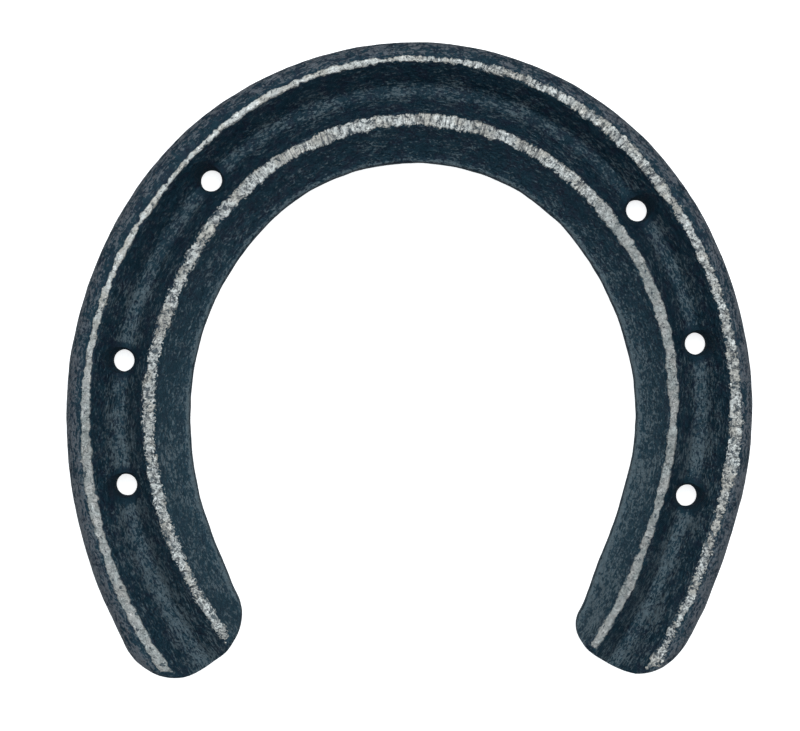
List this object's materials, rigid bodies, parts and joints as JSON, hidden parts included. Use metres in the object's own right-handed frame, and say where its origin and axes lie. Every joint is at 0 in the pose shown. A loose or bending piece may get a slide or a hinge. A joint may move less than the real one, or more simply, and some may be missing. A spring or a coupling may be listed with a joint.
{
  "type": "horseshoe",
  "caption": "Forged concave horseshoe with a full-length fullered crease between two rims, rounded heels and round nail holes",
  "frame": {"origin": "under the middle of the outline, on the hoof face", "axes": "+Z out of the ground side, +Y to the toe, +X to the right branch as seen from the ground side"},
  "size_m": [0.1302, 0.1206, 0.01],
  "materials": {
    "forged_steel": "dark blue-black forge scale, with both ground rims worn to bare bright steel"
  },
  "bodies": {
    "root": {"forged_shoe": "forged_steel"}
  },
  "joints": []
}
